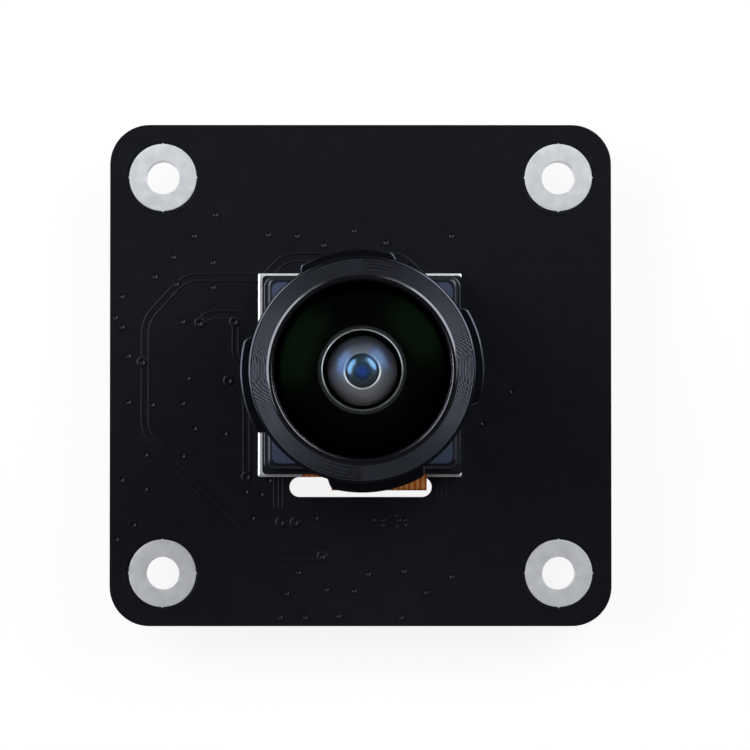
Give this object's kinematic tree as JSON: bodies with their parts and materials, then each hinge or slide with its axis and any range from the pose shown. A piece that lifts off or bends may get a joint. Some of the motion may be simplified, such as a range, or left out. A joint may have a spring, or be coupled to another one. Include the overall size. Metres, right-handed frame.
{
  "type": "camera module",
  "caption": "Fisheye camera module: domed wide-angle lens with a lobed barrel on a square holder, mounted on a black square circuit board with plated mounting holes and a flat-cable connector.",
  "frame": {"origin": "centre of the four-hole pattern, on the rear face of the circuit board", "axes": "+Z along the optical axis towards the scene, +X and +Y along the board's sides, with the tail's slot and the cable connector on the -Y side"},
  "size_m": [0.038, 0.038, 0.0216],
  "materials": {
    "solder_mask": "satin",
    "tinned_copper": "satin",
    "stainless_steel": "satin",
    "adhesive": "satin",
    "tape": "matte",
    "laminate": "gloss",
    "silicon": "gloss",
    "polyimide": "satin",
    "black_plastic": "satin",
    "black_anodised": "satin",
    "seal_rubber": "matte",
    "optical_glass": "gloss",
    "filter_glass": "gloss",
    "blackened_metal": "matte",
    "gilt_contact": "satin",
    "cream_plastic": "satin",
    "brown_plastic": "satin",
    "chip_resin": "matte",
    "ceramic_body": "satin",
    "resistor_body": "gloss",
    "ferrite": "satin"
  },
  "bodies": {
    "camera_board": {"circuit_board": "solder_mask", "mounting_lands": "tinned_copper", "adhesive_tape": "tape", "stiffener_plate": "stainless_steel", "sensor_board": "laminate", "image_sensor": "silicon", "flexible_tail": "polyimide", "lens_holder": "black_plastic", "infrared_filter": "filter_glass", "lens_barrel": "black_anodised", "locking_adhesive": "adhesive", "front_ring": "black_anodised", "sealing_ring": "seal_rubber", "front_element": "optical_glass", "front_spacer": "blackened_metal", "second_element": "optical_glass", "middle_spacer": "blackened_metal", "third_element": "optical_glass", "aperture_stop": "blackened_metal", "fourth_element": "optical_glass", "fifth_element": "optical_glass", "rear_spacer": "blackened_metal", "rear_element": "optical_glass", "tail_plug": "chip_resin", "plug_stiffener": "stainless_steel", "board_socket": "cream_plastic", "socket_contacts": "gilt_contact", "connector_housing": "cream_plastic", "connector_contacts": "gilt_contact", "connector_tabs": "tinned_copper", "voltage_regulators": "chip_resin", "regulator_leads": "tinned_copper", "level_shifters": "chip_resin", "shifter_leads": "tinned_copper", "memory_chip": "chip_resin", "oscillator_base": "ferrite", "oscillator_lid": "stainless_steel", "capacitors": "ceramic_body", "capacitor_ends": "tinned_copper", "resistors": "resistor_body", "resistor_ends": "tinned_copper", "inductors": "ferrite", "inductor_ends": "tinned_copper"},
    "cable_latch": {"connector_latch": "brown_plastic"}
  },
  "joints": [
    {"name": "cable_latch_slide", "type": "slide", "parent": "camera_board", "child": "cable_latch", "axis": [0, -1, 0], "range_m": [0, 0.001]}
  ]
}
